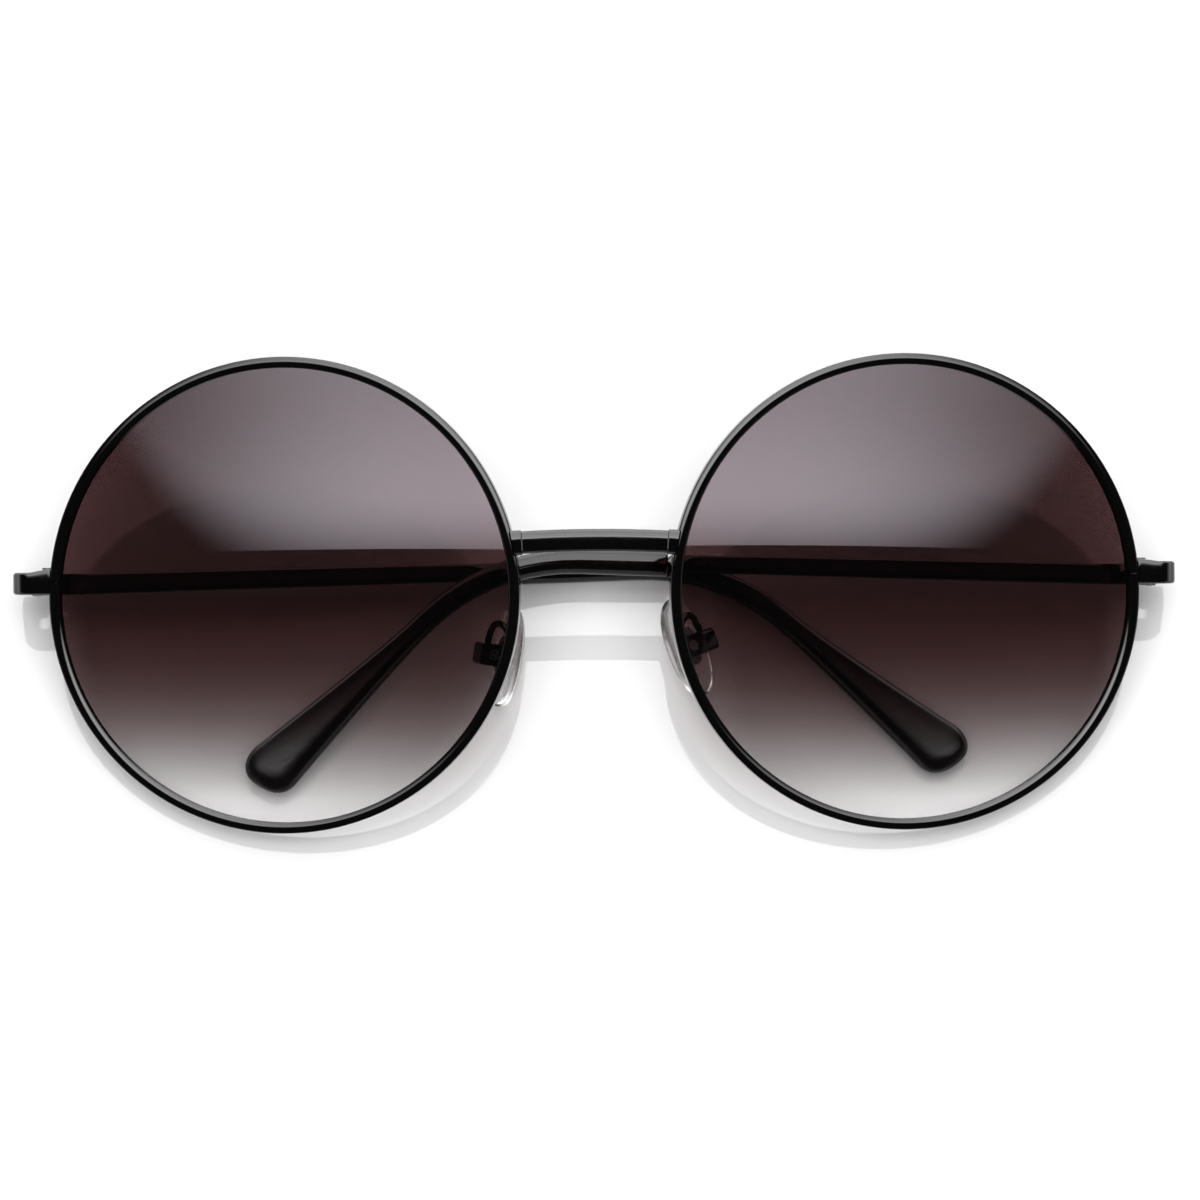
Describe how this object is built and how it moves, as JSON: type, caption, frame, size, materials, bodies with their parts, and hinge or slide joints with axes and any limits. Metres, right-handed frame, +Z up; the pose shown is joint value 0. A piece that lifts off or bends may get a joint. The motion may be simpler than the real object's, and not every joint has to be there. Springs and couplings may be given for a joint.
{
  "type": "sunglasses",
  "caption": "Oversized round wire-frame sunglasses, folded, with tinted lenses, a straight bridge bar, rocking nose pads and hinged temples with moulded ear tips.",
  "frame": {"origin": "on the surface that the folded glasses lie on, under the middle of the two rims", "axes": "+X to the right of someone who looks at the front, along the two rims; +Y towards the brow side; +Z up from the surface. Left and right in the names are that viewer's"},
  "size_m": [0.1474, 0.0568, 0.0254],
  "materials": {
    "frame_enamel": "gloss black enamel on metal wire",
    "lens_tint": "polished, warm grey tint that fades towards the lower edge",
    "tip_plastic": "polished black with a trace of dark red brown",
    "pad_clear": "clear soft plastic",
    "screw_steel": "turned, slightly worn"
  },
  "bodies": {
    "front": {"rim_left": "frame_enamel", "rim_right": "frame_enamel", "lens_left": "lens_tint", "lens_right": "lens_tint", "bridge_bar": "frame_enamel", "endpiece_left": "frame_enamel", "endpiece_right": "frame_enamel", "rim_lock_upper_left": "frame_enamel", "rim_lock_upper_right": "frame_enamel", "rim_lock_lower_left": "frame_enamel", "rim_lock_lower_right": "frame_enamel", "rim_lock_screw_left": "screw_steel", "rim_lock_screw_right": "screw_steel", "hinge_front_left": "frame_enamel", "hinge_front_right": "frame_enamel", "hinge_screw_left": "screw_steel", "hinge_screw_right": "screw_steel", "pad_arm_left": "frame_enamel", "pad_arm_right": "frame_enamel", "pad_box_left": "frame_enamel", "pad_box_right": "frame_enamel", "pad_screw_left": "screw_steel", "pad_screw_right": "screw_steel"},
    "temple_left_arm": {"temple_left": "frame_enamel", "hinge_temple_left": "frame_enamel", "temple_tip_left": "tip_plastic"},
    "temple_right_arm": {"temple_right": "frame_enamel", "hinge_temple_right": "frame_enamel", "temple_tip_right": "tip_plastic"},
    "pad_left": {"nose_pad_left": "pad_clear", "pad_core_left": "screw_steel"},
    "pad_right": {"nose_pad_right": "pad_clear", "pad_core_right": "screw_steel"}
  },
  "joints": [
    {"name": "temple_left_fold", "type": "hinge", "parent": "front", "child": "temple_left_arm", "pos_m": [-0.07116, 0.00517, 0.00421], "axis": [0, 0.9772, 0.2122], "range_deg": [0, 90.5]},
    {"name": "temple_right_fold", "type": "hinge", "parent": "front", "child": "temple_right_arm", "pos_m": [0.07116, 0.00559, 0.00436], "axis": [0, -0.9772, -0.2122], "range_deg": [0, 93.5]},
    {"name": "pad_left_rock", "type": "hinge", "parent": "front", "child": "pad_left", "pos_m": [-0.01331, -0.00503, 0.00494], "axis": [0.4017, -0.3759, 0.835], "range_deg": [-8, 8]},
    {"name": "pad_right_rock", "type": "hinge", "parent": "front", "child": "pad_right", "pos_m": [0.01339, -0.00393, 0.00579], "axis": [-0.5821, -0.4608, 0.6699], "range_deg": [-8, 8]}
  ]
}
